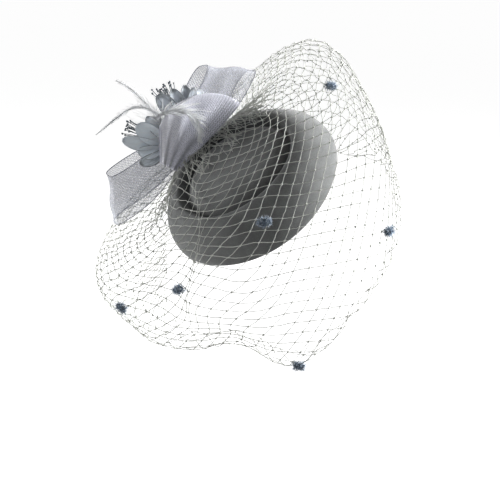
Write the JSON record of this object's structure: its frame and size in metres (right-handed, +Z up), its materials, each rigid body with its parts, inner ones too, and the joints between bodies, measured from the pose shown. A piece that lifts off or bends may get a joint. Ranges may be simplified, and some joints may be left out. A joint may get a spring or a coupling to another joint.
{
  "type": "pillbox fascinator hat with veil and bow",
  "caption": "Round felt pillbox fascinator with a sunk groove in its top, a loose dotted net veil, and a sheer bow with cloth blossoms and feathers.",
  "frame": {"origin": "middle of the crown's open rim, where it sits on the head", "axes": "+Z up as worn, -Y towards the wearer's front, -X towards the wearer's right, the side the hat leans to"},
  "size_m": [0.2759, 0.2938, 0.2907],
  "materials": {
    "grey_felt": "brushed wool felt",
    "comb_steel": "plain wire",
    "net_thread": "silver-grey thread",
    "sheer_braid": "sheer stiff braid",
    "dense_braid": "pleated stiff braid",
    "satin_petal": "satin",
    "stamen_thread": "waxed thread",
    "pearl_feather": "soft feather",
    "chenille": "soft tufts"
  },
  "bodies": {
    "root": {"felt_crown": "grey_felt", "hair_comb": "comb_steel", "net_veil": "net_thread", "bow_loops": "sheer_braid", "bow_fan": "dense_braid", "blossom_upper": "satin_petal", "blossom_lower": "satin_petal", "stamens_upper": "stamen_thread", "stamens_lower": "stamen_thread", "feather_spray": "pearl_feather", "net_dot_1": "chenille", "net_dot_2": "chenille", "net_dot_3": "chenille", "net_dot_4": "chenille", "net_dot_5": "chenille", "net_dot_6": "chenille"}
  },
  "joints": []
}
